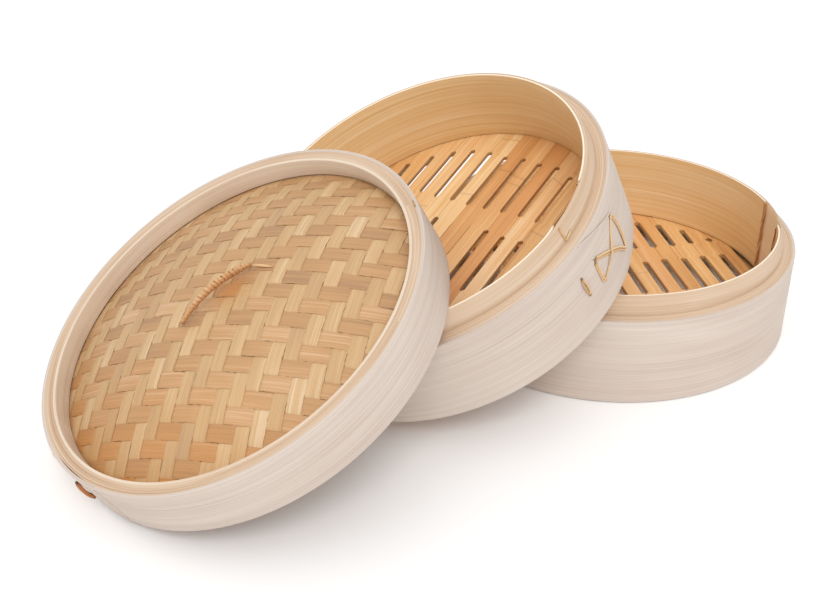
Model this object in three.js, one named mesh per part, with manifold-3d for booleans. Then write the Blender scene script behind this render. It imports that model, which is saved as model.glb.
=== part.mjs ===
// Two-tier bamboo steamer with its woven lid: the lower tier lies flat, the upper tier leans on its lip
// and the lid leans on the lip of the upper tier. Millimetres, +Z up.
import * as THREE from "three";
import { mergeVertices } from "three/addons/utils/BufferGeometryUtils.js";
import Module from "manifold-3d";

const wasm = await Module();
wasm.setup();

// ---- driving dimensions ----
const GAP = 0.3; // air between neighbouring pieces
const HOOP_FACETS = 50; // facets around every bent hoop
const RIM_R = 127; // outside radius of both tiers and of the lid
const OUTER_T = 2; // thickness of the outer veneer
const NEST_R = 119.1; // bore that slips over the lip of the tier below

// tiers
const STEP_H = 60.2; // height of the outer wall, which is also the stacking pitch
const LIP_H = 72.6; // height of the lip above the foot of the tier
const LIP_IN_R = 113.8; // inside of the inner band
const LIP_FOOT_R = 118.6; // outside of the inner band
const LIP_TOP_R = 116.2; // outside of the lip where its bevel ends
const JOINT_DEPTH = 1.3; // recess left in the inner band where its two ends meet
const JOINT_SPAN = 18; // degrees of arc between those two ends

// slatted floor of a tier
const FLOOR_Z = 18.3; // top of the slats
const SLAT_T = 3.6;
const SLAT_PITCH = 15.1;
const SLAT_COUNT = 15;
const SLAT_END_R = 118.1; // the slat ends reach under the inner band
const SLAT_SEAM = 0.36; // seam between neighbouring slats
const SLOT_W = 4;
const SLOT_TAPER = 1.6; // length of the slanted end of a slot
const MID_SLOT = 25; // half length of the middle row of slots
const SIDE_SLOT_FROM = 42; // where the side rows start
const SIDE_SLOT_TO = 92; // where they end at most
const SLOT_REACH = 0.85; // how far towards the wall a slot goes, as a share of the way
const EDGE_STRIP_TO = 110; // outer edge of the narrow strip beside the wall
const BEARER_T = 1.6; // base hoop and crossbars under the slats
const BASE_HOOP_R = 113.9;
const CROSSBAR_W = 9;
const CROSSBAR_AT = 33.5; // distance of each crossbar from the middle
const CROSSBAR_END_R = 113.2;

// lid
const LID_H = 35.6;
const LID_COLLAR_R = 117; // inside of the collar that presses on the weave
const LID_INNER_R = 118.8; // outside of the collar and of the hoop under the weave
const LID_CORE_R = 122; // where the core band meets the middle band
const WEAVE_EDGE_Z = 22.1; // top of the weave at the collar
const WEAVE_APEX_Z = 44; // top of the weave in the middle
const WEAVE_T = 1.3;
const LINING_T = 1;
const LID_HOOP_R = 114;
const LID_HOOP_Z = 13.5;
const RIB_T = 1.8;
const RIB_W = 11;
const RIB_END_R = 113.4;

// handle: an arch of wrapped rattan standing on the weave
const HANDLE_FEET = [new THREE.Vector2(-21.1, -13.6), new THREE.Vector2(22.2, 13.3)];
const HANDLE_RISE = 8;
const HANDLE_LEAN = 20; // degrees the arch leans over at rest
const HANDLE_CORE_R = 1.25;
const WRAP_R = 2.1; // centre line of the wrapping
const WRAP_W = 0.9;
const WRAP_TURNS = 15;
const TAIL_END = new THREE.Vector2(35.2, 8.2);

// lacing
const STRAND_R = 0.9;
const STRAND_SIDES = 5;

// poses: each leaning body is turned by "tilt" about a level axis that points along "axis" (degrees)
const UPPER_POSE = { at: [-115.49, -43.96, 55.4], tilt: 25.785, axis: -57.85 };
const LID_POSE = { at: [-235.72, -137.62, 60.1], tilt: 28.01, axis: -57.37 };
const LOWER_SLATS_TURN = 98; // direction of the slats in each tier, degrees
const UPPER_SLATS_TURN = 47;
const LOWER_JOINT_AT = -3; // middle of the joint of the inner band
const UPPER_JOINT_AT = 327;
const LOWER_LACING_AT = 34; // middle of the bow-tie lacing
const UPPER_LACING_AT = 329.5;
const LID_LACING_AT = 205.5;
const LID_STITCH_AT = 224.8; // single stitch beside the lacing of the lid

const finishes = {
  veneer: { color: 0xd8c8b8, roughness: 0.62, metalness: 0 },
  core: { color: 0xd9b68a, roughness: 0.6, metalness: 0 },
  lining: { color: 0xcf9f62, roughness: 0.42, metalness: 0 },
  slat: { color: 0xc98d4c, roughness: 0.5, metalness: 0 },
  bearer: { color: 0xb07c44, roughness: 0.65, metalness: 0 },
  weave: { color: 0xcfa772, roughness: 0.5, metalness: 0 },
  rattan: { color: 0xb8894e, roughness: 0.55, metalness: 0 },
};
const materials = {};
for (const [name, finish] of Object.entries(finishes)) {
  materials[name] = new THREE.MeshStandardMaterial({ name, ...finish });
}

const steamer = new THREE.Group();
steamer.name = "bamboo_steamer";

function radians(degrees) {
  return (degrees * Math.PI) / 180;
}

// Joins the shared corners of a geometry and drops the triangles that have no area.
function weld(source) {
  source.deleteAttribute("normal");
  source.deleteAttribute("uv");
  const geometry = mergeVertices(source, 1e-4);
  const index = Array.from(geometry.index.array);
  const kept = [];
  for (let i = 0; i < index.length; i += 3) {
    const [a, b, c] = index.slice(i, i + 3);
    if (a !== b && b !== c && c !== a) {
      kept.push(a, b, c);
    }
  }
  geometry.setIndex(kept);
  return geometry;
}

// Turns a closed (radius, height) outline, listed counter-clockwise, into a hoop about Z.
function hoop(outline) {
  const points = outline.map(([r, z]) => new THREE.Vector2(r, z));
  points.push(points[0].clone());
  const geometry = new THREE.LatheGeometry(points, HOOP_FACETS);
  geometry.rotateX(Math.PI / 2);
  return weld(geometry);
}

function band(innerR, outerR, z0, z1) {
  return hoop([
    [outerR, z0],
    [outerR, z1],
    [innerR, z1],
    [innerR, z0],
  ]);
}

// Extrudes a flat outline upward from z0.
function plate(outline, z0, thickness) {
  const shape = new THREE.Shape(outline);
  const geometry = new THREE.ExtrudeGeometry(shape, { depth: thickness, bevelEnabled: false });
  geometry.translate(0, 0, z0);
  return weld(geometry);
}

// Sweeps a small polygon along a smooth line through the points.
function strand(points, radius, sides, steps) {
  const section = new THREE.Shape();
  for (let i = 0; i < sides; i += 1) {
    const angle = (2 * Math.PI * i) / sides;
    const x = radius * Math.cos(angle);
    const y = radius * Math.sin(angle);
    if (i === 0) {
      section.moveTo(x, y);
    } else {
      section.lineTo(x, y);
    }
  }
  const extrudePath = new THREE.CatmullRomCurve3(points, false, "centripetal");
  return weld(new THREE.ExtrudeGeometry(section, { steps, extrudePath, bevelEnabled: false }));
}

function toManifold(geometry) {
  return new wasm.Manifold(
    new wasm.Mesh({
      numProp: 3,
      vertProperties: new Float32Array(geometry.attributes.position.array),
      triVerts: new Uint32Array(geometry.index.array),
    }),
  );
}

function carve(geometry, cutter) {
  const mesh = toManifold(geometry).subtract(toManifold(cutter)).getMesh();
  const result = new THREE.BufferGeometry();
  result.setAttribute("position", new THREE.BufferAttribute(new Float32Array(mesh.vertProperties), 3));
  result.setIndex(Array.from(mesh.triVerts));
  return result;
}

// Upright wedge of a disc, taller than the tier, used to cut the joint of the inner band.
function sector(middle, span, radius, height) {
  const outline = [new THREE.Vector2(0, 0)];
  for (let i = 0; i <= 6; i += 1) {
    const angle = radians(middle - span / 2 + (span * i) / 6);
    outline.push(new THREE.Vector2(radius * Math.cos(angle), radius * Math.sin(angle)));
  }
  return plate(outline, -1, height + 2);
}

function addPiece(name, geometry, finish, pose) {
  geometry.applyMatrix4(pose);
  geometry.computeVertexNormals();
  const mesh = new THREE.Mesh(geometry, materials[finish]);
  mesh.name = name;
  steamer.add(mesh);
}

function poseMatrix({ at, tilt, axis }) {
  const direction = new THREE.Vector3(Math.cos(radians(axis)), Math.sin(radians(axis)), 0);
  const matrix = new THREE.Matrix4().makeRotationAxis(direction, radians(tilt));
  matrix.setPosition(new THREE.Vector3(...at));
  return matrix;
}

// Point on a wall of the given radius, at an azimuth in degrees.
function onWall(radius, azimuth, z) {
  return new THREE.Vector3(radius * Math.cos(radians(azimuth)), radius * Math.sin(radians(azimuth)), z);
}

// ---- slatted floor ----

// Stretches of the seam at distance "across" from the middle that are opened into slots.
function slotsOnSeam(across) {
  const reach = SLOT_REACH * Math.sqrt(LIP_IN_R ** 2 - across ** 2);
  const slots = [];
  const sideEnd = Math.min(SIDE_SLOT_TO, reach);
  if (sideEnd - SIDE_SLOT_FROM > 3 * SLOT_TAPER) {
    slots.push([-sideEnd, -SIDE_SLOT_FROM], [SIDE_SLOT_FROM, sideEnd]);
  }
  const midEnd = Math.min(MID_SLOT, reach);
  slots.push([-midEnd, midEnd]);
  return slots.sort((p, q) => p[0] - q[0]);
}

// One long edge of a slat, notched where the seam opens into slots. side is +1 or -1.
function slatEdge(seam, side, notched) {
  const edge = seam - (side * SLAT_SEAM) / 2;
  const floor = seam - (side * SLOT_W) / 2;
  const reach = Math.sqrt(SLAT_END_R ** 2 - edge ** 2);
  const points = [new THREE.Vector2(-reach, edge)];
  if (notched) {
    for (const [from, to] of slotsOnSeam(seam)) {
      points.push(new THREE.Vector2(from, edge));
      points.push(new THREE.Vector2(from + SLOT_TAPER, floor));
      points.push(new THREE.Vector2(to - SLOT_TAPER, floor));
      points.push(new THREE.Vector2(to, edge));
    }
  }
  points.push(new THREE.Vector2(reach, edge));
  return points;
}

function slat(index) {
  const middle = (SLAT_COUNT - 1) / 2;
  const low = Math.max((index - middle - 0.5) * SLAT_PITCH, -EDGE_STRIP_TO);
  const high = Math.min((index - middle + 0.5) * SLAT_PITCH, EDGE_STRIP_TO);
  const lowEdge = slatEdge(low, -1, index > 0);
  const highEdge = slatEdge(high, 1, index < SLAT_COUNT - 1);
  return plate(lowEdge.concat(highEdge.reverse()), FLOOR_Z - SLAT_T, SLAT_T);
}

function crossbar(along) {
  const reach = Math.sqrt(CROSSBAR_END_R ** 2 - (Math.abs(along) + CROSSBAR_W / 2) ** 2);
  const outline = [
    new THREE.Vector2(along - CROSSBAR_W / 2, -reach),
    new THREE.Vector2(along + CROSSBAR_W / 2, -reach),
    new THREE.Vector2(along + CROSSBAR_W / 2, reach),
    new THREE.Vector2(along - CROSSBAR_W / 2, reach),
  ];
  return plate(outline, FLOOR_Z - SLAT_T - GAP - BEARER_T, BEARER_T);
}

// ---- lacing ----

// Bow-tie of rattan on the outer wall: two crossing diagonals joined by a short and a long side.
function bowTie(azimuth, midZ) {
  const r = RIM_R + GAP + STRAND_R;
  const shortEnd = azimuth - 7.6;
  const longEnd = azimuth + 7.4;
  return [
    onWall(r, shortEnd - 0.8, midZ + 10),
    onWall(r, azimuth - 4.4, midZ + 5),
    onWall(r, azimuth - 1.2, midZ),
    onWall(r, azimuth + 3.4, midZ - 8),
    onWall(r, longEnd - 0.9, midZ - 15.6),
    onWall(r, longEnd + 0.4, midZ - 14),
    onWall(r, longEnd + 0.7, midZ),
    onWall(r, longEnd - 1.2, midZ + 13.2),
    onWall(r, longEnd - 2.7, midZ + 14.8),
    onWall(r, azimuth + 2, midZ + 7.6),
    onWall(r + 2 * STRAND_R + GAP, azimuth - 1.2, midZ),
    onWall(r, azimuth - 4, midZ - 5.6),
    onWall(r, shortEnd + 0.8, midZ - 9.2),
    onWall(r, shortEnd - 0.5, midZ - 7.6),
    onWall(r, shortEnd - 1, midZ + 5.2),
  ];
}

function stitch(radius, azimuth, lowZ, highZ, slant, bulge) {
  const r = radius + GAP + STRAND_R;
  return [
    onWall(r, azimuth + slant, lowZ),
    onWall(r + bulge, azimuth + slant / 2, (lowZ + highZ) / 2),
    onWall(r, azimuth, highZ),
  ];
}

// ---- one tier, built about its own axis with its foot at z = 0 ----
function buildTier(prefix, pose, slatsTurn, jointAt, lacingAt) {
  const place = poseMatrix(pose);
  const add = (name, geometry, finish) => addPiece(`${prefix}_${name}`, geometry, finish, place);

  add("outer_band", band(RIM_R - OUTER_T, RIM_R, 0, STEP_H), "veneer");
  add("core_band", band(NEST_R, RIM_R - OUTER_T - GAP, 0, STEP_H - 0.3), "core");
  const inner = hoop([
    [LIP_FOOT_R, FLOOR_Z + GAP],
    [LIP_FOOT_R, STEP_H + 1.5],
    [LIP_TOP_R, LIP_H],
    [LIP_IN_R, LIP_H],
    [LIP_IN_R, FLOOR_Z + GAP],
  ]);
  add("inner_band", carve(inner, sector(jointAt, JOINT_SPAN, LIP_IN_R + JOINT_DEPTH, LIP_H)), "lining");
  const bearerZ = FLOOR_Z - SLAT_T - GAP - BEARER_T;
  add("base_hoop", band(BASE_HOOP_R, SLAT_END_R, bearerZ, bearerZ + BEARER_T), "bearer");

  const turn = new THREE.Matrix4().makeRotationZ(radians(slatsTurn));
  for (let i = 0; i < SLAT_COUNT; i += 1) {
    add(`slat_${String(i + 1).padStart(2, "0")}`, slat(i).applyMatrix4(turn), "slat");
  }
  add("crossbar_a", crossbar(CROSSBAR_AT).applyMatrix4(turn), "bearer");
  add("crossbar_b", crossbar(-CROSSBAR_AT).applyMatrix4(turn), "bearer");

  add("bow_lacing", strand(bowTie(lacingAt, STEP_H / 2), STRAND_R, STRAND_SIDES, 32), "rattan");
  const single = stitch(RIM_R, lacingAt - 15.2, 23.5, 40, 0.7, 0.4);
  add("end_stitch", strand(single, STRAND_R, STRAND_SIDES, 5), "rattan");
}

// ---- lid, built about its own axis with its lower edge at z = 0 ----

// Height of a dome that passes through the apex and through the edge radius.
function domeHeight(radius, apex, edgeZ) {
  const rise = apex - edgeZ;
  const ball = (LID_COLLAR_R ** 2 + rise ** 2) / (2 * rise);
  return apex - ball + Math.sqrt(ball ** 2 - radius ** 2);
}

// A thin dome with a flat brim that the collar and the hoop hold between them.
function domeSheet(apex, edgeZ, thickness) {
  const steps = 5;
  const top = [];
  const under = [];
  for (let i = 0; i <= steps; i += 1) {
    const r = (LID_COLLAR_R * (steps - i)) / steps;
    top.push([r, domeHeight(r, apex, edgeZ)]);
    under.push([LID_COLLAR_R - r, domeHeight(LID_COLLAR_R - r, apex, edgeZ) - thickness]);
  }
  const brim = [
    [LID_INNER_R, edgeZ - thickness],
    [LID_INNER_R, edgeZ],
  ];
  return hoop([...under, ...brim, ...top]);
}

// Split-bamboo rib bent to the underside of the dome, running across the lid along X.
function rib(apex) {
  const edgeZ = apex - (WEAVE_APEX_Z - WEAVE_EDGE_Z);
  const shape = new THREE.Shape();
  const steps = 10;
  for (let i = 0; i <= steps; i += 1) {
    const x = RIB_END_R * ((2 * i) / steps - 1);
    const z = domeHeight(Math.abs(x), apex, edgeZ);
    if (i === 0) {
      shape.moveTo(x, z);
    } else {
      shape.lineTo(x, z);
    }
  }
  for (let i = steps; i >= 0; i -= 1) {
    const x = RIB_END_R * ((2 * i) / steps - 1);
    shape.lineTo(x, domeHeight(Math.abs(x), apex, edgeZ) - RIB_T);
  }
  const geometry = new THREE.ExtrudeGeometry(shape, { depth: RIB_W, bevelEnabled: false });
  geometry.translate(0, 0, -RIB_W / 2);
  geometry.rotateX(Math.PI / 2);
  return weld(geometry);
}

// Point of the handle arch: share 0 and 1 are its feet.
function onHandle(share) {
  const [from, to] = HANDLE_FEET;
  const foot = from.clone().lerp(to, share);
  const along = to.clone().sub(from).normalize();
  const height = HANDLE_RISE * Math.sin(Math.PI * share) ** 0.8;
  const lean = height * Math.sin(radians(HANDLE_LEAN));
  const feetZ = domeHeight(from.length(), WEAVE_APEX_Z, WEAVE_EDGE_Z) + WRAP_R + WRAP_W / 2 + GAP;
  return new THREE.Vector3(
    foot.x + along.y * lean,
    foot.y - along.x * lean,
    feetZ + height * Math.cos(radians(HANDLE_LEAN)),
  );
}

function handleWrap() {
  const from = onHandle(0);
  const chord = onHandle(1).sub(from).normalize();
  const points = [];
  const perTurn = 5;
  for (let i = 0; i <= WRAP_TURNS * perTurn; i += 1) {
    const share = 0.03 + (0.94 * i) / (WRAP_TURNS * perTurn);
    const ahead = onHandle(share + 0.01).sub(onHandle(share - 0.01)).normalize();
    const side = new THREE.Vector3(0, 0, 1).cross(chord).normalize();
    const up = ahead.clone().cross(side).normalize();
    const angle = (2 * Math.PI * i) / perTurn;
    const offset = side.multiplyScalar(Math.cos(angle)).add(up.multiplyScalar(Math.sin(angle)));
    points.push(onHandle(share).addScaledVector(offset, WRAP_R));
  }
  return strand(points, WRAP_W / 2, 4, WRAP_TURNS * perTurn);
}

function handleTail() {
  const start = HANDLE_FEET[1];
  const points = [];
  for (const share of [0.22, 0.6, 1]) {
    const spot = start.clone().lerp(TAIL_END, share);
    const z = domeHeight(spot.length(), WEAVE_APEX_Z, WEAVE_EDGE_Z) + GAP + 0.6;
    points.push(new THREE.Vector3(spot.x, spot.y, z));
  }
  return strand(points, 0.6, 5, 4);
}

function buildLid(pose) {
  const place = poseMatrix(pose);
  const add = (name, geometry, finish) => addPiece(`lid_${name}`, geometry, finish, place);

  add("outer_band", band(RIM_R - OUTER_T, RIM_R, 0, LID_H), "veneer");
  add("middle_band", band(LID_CORE_R + GAP, RIM_R - OUTER_T - GAP, 0, LID_H - 0.3), "core");
  add("core_band", band(NEST_R, LID_CORE_R, 0, LID_H - 0.3), "core");
  add("collar", band(LID_COLLAR_R, LID_INNER_R, WEAVE_EDGE_Z + GAP, LID_H), "core");
  const liningApex = WEAVE_APEX_Z - WEAVE_T - GAP;
  const liningEdge = WEAVE_EDGE_Z - WEAVE_T - GAP;
  add("hoop", band(LID_HOOP_R, LID_INNER_R, LID_HOOP_Z, liningEdge - LINING_T - GAP), "core");
  add("woven_top", domeSheet(WEAVE_APEX_Z, WEAVE_EDGE_Z, WEAVE_T), "weave");
  add("woven_lining", domeSheet(liningApex, liningEdge, LINING_T), "weave");

  const ribApex = liningApex - LINING_T - GAP;
  const weaveTurn = new THREE.Matrix4().makeRotationZ(radians(-14));
  const acrossTurn = new THREE.Matrix4().makeRotationZ(radians(76));
  add("rib_a", rib(ribApex).applyMatrix4(weaveTurn), "bearer");
  add("rib_b", rib(ribApex - RIB_T - GAP).applyMatrix4(acrossTurn), "bearer");

  add("bow_lacing", strand(bowTie(LID_LACING_AT, LID_H / 2), STRAND_R, STRAND_SIDES, 32), "rattan");
  const single = stitch(RIM_R, LID_STITCH_AT, 13.5, 31, 0.6, 2);
  add("end_stitch", strand(single, STRAND_R, STRAND_SIDES, 6), "rattan");
  add("handle_tail", handleTail(), "rattan");

  const archPoints = [];
  for (let i = 0; i <= 10; i += 1) {
    archPoints.push(onHandle(i / 10));
  }
  add("handle_core", strand(archPoints, HANDLE_CORE_R, 8, 14), "rattan");
  add("handle_wrap", handleWrap(), "rattan");
}

buildTier("lower", { at: [0, 0, 0], tilt: 0, axis: 0 }, LOWER_SLATS_TURN, LOWER_JOINT_AT, LOWER_LACING_AT);
buildTier("upper", UPPER_POSE, UPPER_SLATS_TURN, UPPER_JOINT_AT, UPPER_LACING_AT);
buildLid(LID_POSE);

// Centre the whole set over the origin.
const bounds = new THREE.Box3().setFromObject(steamer);
const centre = bounds.getCenter(new THREE.Vector3());
for (const mesh of steamer.children) {
  mesh.geometry.translate(-centre.x, -centre.y, -bounds.min.z);
}

export default steamer;
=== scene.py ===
"""Looks of the bamboo steamer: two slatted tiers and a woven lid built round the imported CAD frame."""

import math
import random

import bpy
import numpy as np
from mathutils import Matrix, Vector


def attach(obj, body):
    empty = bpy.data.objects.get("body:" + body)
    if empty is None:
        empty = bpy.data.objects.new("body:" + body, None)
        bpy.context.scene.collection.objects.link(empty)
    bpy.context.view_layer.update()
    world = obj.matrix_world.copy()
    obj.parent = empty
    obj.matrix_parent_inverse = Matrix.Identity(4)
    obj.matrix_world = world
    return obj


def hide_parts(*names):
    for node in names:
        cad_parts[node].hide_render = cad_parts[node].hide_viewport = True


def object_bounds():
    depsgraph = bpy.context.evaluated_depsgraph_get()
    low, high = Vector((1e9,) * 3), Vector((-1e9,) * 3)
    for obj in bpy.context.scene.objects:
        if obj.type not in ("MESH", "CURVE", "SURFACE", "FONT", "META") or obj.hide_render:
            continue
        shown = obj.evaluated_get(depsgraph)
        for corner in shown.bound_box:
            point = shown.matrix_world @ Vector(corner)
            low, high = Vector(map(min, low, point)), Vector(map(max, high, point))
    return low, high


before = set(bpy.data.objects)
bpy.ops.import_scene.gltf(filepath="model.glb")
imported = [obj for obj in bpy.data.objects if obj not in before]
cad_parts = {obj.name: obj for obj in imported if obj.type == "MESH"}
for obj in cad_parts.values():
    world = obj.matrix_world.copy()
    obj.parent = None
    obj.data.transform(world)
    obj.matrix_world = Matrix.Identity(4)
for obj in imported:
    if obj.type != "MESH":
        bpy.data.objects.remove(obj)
CAD_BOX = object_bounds()

MM = 0.001

# ---- sizes in millimetres, in the frame of one tier or of the lid (foot at z = 0, axis along Z) ----

# bands of a tier
RIM_R = 126.85  # outside of the outer veneer
OUTER_IN_R = 124.6  # inside of the outer veneer
CORE_OUT_R = 124.7
NEST_R = 119.1  # bore that slips over the lip of the tier below
STEP_H = 60.2  # height of the outer wall
LIP_H = 72.6  # height of the lip
LIP_IN_R = 113.8
LIP_MID_R = 115.1  # where the two plies of the inner band meet
LIP_FOOT_R = 118.6
LIP_TOP_R = 116.2
PLY_GAP = 0.06
GROOVES = (123.2, 121.4)  # radii of the grooves between the plies of the step
NEST_H = 43.2  # height of the nesting bore
JOINT_HALF = 9.0  # half the arc of the joint of the inner band, degrees
VENEER_CUT_Z = 46.0  # height above which the free end of the outer veneer is cut away
VENEER_CUT_ARC = 20.0  # arc cut away at the top, degrees

# slatted floor
FLOOR_Z = 18.3
SLAT_T = 3.6
SLAT_PITCH = 15.1
SLAT_COUNT = 15
SLAT_END_R = 118.0
SLAT_SEAM = 0.1
SLAT_STEP = 0.7  # distance between the stations of a slat
SLAT_PROFILE = (0.0, 0.008, 0.025, 0.07, 0.3, 0.5, 0.7, 0.93, 0.975, 0.992, 1.0)  # shares of its width
SLAT_CROWN = 0.04  # share of its width over which each edge is rounded
SLAT_ROUND = 0.3  # how far the upper edges drop
SLAT_TONES = (0.1, 0.72)
SLAT_WARMTHS = (0.0, 0.0, 0.1, 0.2, 0.36)
# painted shade on the walls of the steam slots
SLOT_WALL_SHADE = 0.45
KNOT_RISE = 0.16
KNOT_W = 1.6
KNOT_DARK = 0.3
KNOT_MARK_W = 0.5
KNOT_MARK_AT = 1.2  # from the ridge of the knot to the dark line beside it
EDGE_STRIP_TO = 110.0
BEARER_Z = 12.8
BEARER_T = 1.6
BEARER_IN_R = 113.95
BEARER_OUT_R = 118.0
CROSSBAR_AT = 33.5
CROSSBAR_W = 9.0
CROSSBAR_END_R = 113.0

# steam slots
SLOT_W = {"lower": 5.2, "upper": 4.4}
# depth of a slot at the underside of the slat, as a share of that on top
SLOT_UNDER = {"lower": 0.85, "upper": 1.25}
SLOT_END = 1.8
MID_SLOT = 25.0
SIDE_SLOT_FROM = 42.0
SIDE_SLOT_TO = 92.0
SLOT_REACH = 0.85  # how far towards the wall a slot goes, as a share of the way
LOWER_MID_SHORT = 3.0  # by how much the middle slots of the lower tier are shorter at one end
CLOSED_SEAMS = (7, 8)  # seams whose middle slot is almost shut on the upper tier
CLOSED_SHARE = 0.12

# lid
LID_H = 35.6
LID_CORE_R = 122.0
LID_INNER_R = 118.8
LID_COLLAR_R = 117.0
LID_MIDDLE_GROOVE = 123.5
LID_CORE_GROOVE = 120.6
WEAVE_EDGE_Z = 22.1
WEAVE_APEX_Z = 44.0
WEAVE_LIMIT_R = 118.35  # where the ends of the strips are cut
WEAVE_FLAT_R = 117.6  # beyond it the strips lie flat under the collar
WEAVE_SETTLE = 3.0  # distance over which they stop waving before that
WEAVE_STATION = 1.3  # distance between the stations of a strip
WEAVE_ACROSS = 7  # points across a strip
NARROWEST = 2.5
LINING_DROP = 1.6
LID_HOOP_R = 114.0
LID_HOOP_Z = (13.5, 19.1)
RIB_W = 11.0
RIB_T = 1.8
RIB_END_R = 113.4
RIM_SPLIT_R = 124.5

# handle
HANDLE_FEET = (Vector((-21.1, -13.6)), Vector((22.2, 13.3)))
HANDLE_RISE = 8.0
HANDLE_LEAN = math.radians(20)
HANDLE_ABOVE = 2.85  # height of the cane's axis above the weave at its feet
CANE_D = 2.5
WRAP_TURNS = 21
TAIL_END = Vector((35.2, 8.2))
HANDLE_SHADOW_SPOT = (8.0, 2.0)  # amber patch painted on the weave beside the handle as its shadow
HANDLE_SHADOW_SPREAD = 110.0  # square millimetres

# lacing
LACING_LIFT = 0.5  # from the outer wall to the middle of the bow-tie's strips
JOINT_STRIPS = ((0.0, 1.8, 0.3), (2.2, 1.4, 0.7), (4.1, 1.2, 1.0))  # (phase, width, tone) at a joint
HOOP_FADE = 0.8  # length over which the end of a hoop darkens
STRIP_FADE = 2.5  # and the end of a strip

# ---- directions in degrees ----
TURNS = {"lower": 98.0, "upper": 47.0}  # direction of the slats
JOINTS = {"lower": -3.0, "upper": 327.0}
LACINGS = {"lower": 34.0, "upper": 329.5, "lid": 205.5}
BOW_SHORT = 7.6  # from the crossing to the short side of the bow-tie
BOW_LONG = 7.4
STITCH_FROM_LACING = -15.2
TIE_FROM_LACING = -11.6
VENEER_END_FROM_LACING = 7.0
LID_STITCH_AT = 224.8
LID_LAP_AT = 230.0  # where the outer veneer of the lid ends
LID_LAP_SPAN = 17.0  # arc over which it stands off the next ply
AGED_TOWARDS = 235.0  # side of the weave that has darkened

# (degrees from the middle of the bow-tie, height, lean in degrees) of the awl holes beside it, drawn as
# painted shade
AWL_HOLES = ((4.6, 45.6, 20), (-8.6, 40.6, -40), (7.0, 14.0, 10), (-6.8, 19.9, 15))

# ---- materials: noise and ramp ----
RAMP_FROM = 0.12  # where the darkest colour lies
RAMP_TO = 0.9  # where the palest colour lies
NOISE_APART = 61.0  # distance in the noise between pieces of opposite tone
PATCH_SCALE = (9.0, 28.0)  # blotches per metre, along and across
BUMP_DEPTH = 0.00035  # metres
ANY_PHASE = (0, 6.28)


# ---- frames of the bodies ----


def band_frame(node, height):
    """Frame of a body, from one of its straight bands: the foot of its axis, Z along the axis."""
    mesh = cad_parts[node].data
    points = np.empty(len(mesh.vertices) * 3)
    mesh.vertices.foreach_get("co", points)
    points = np.unique(points.reshape(-1, 3).round(6), axis=0)
    centre = points.mean(0)
    axis = Vector(np.linalg.svd(points - centre)[2][2])
    if axis.z < 0:
        axis.negate()
    turn = Vector((0, 0, 1)).rotation_difference(axis).to_matrix().to_4x4()
    return Matrix.Translation(Vector(centre) - axis * height * MM / 2) @ turn


LID_FRAME = band_frame("lid_outer_band", LID_H)
FRAMES = {
    "lower_tier": band_frame("lower_outer_band", STEP_H),
    "upper_tier": band_frame("upper_outer_band", STEP_H),
    "lid": LID_FRAME,
    "handle": LID_FRAME,
}


# ---- materials ----


def linear(code):
    """Linear colour of an sRGB code such as "d8c8b8"."""
    values = [int(code[i : i + 2], 16) / 255 for i in (0, 2, 4)]
    return [v / 12.92 if v <= 0.04045 else ((v + 0.055) / 1.055) ** 2.4 for v in values] + [1.0]


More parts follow.
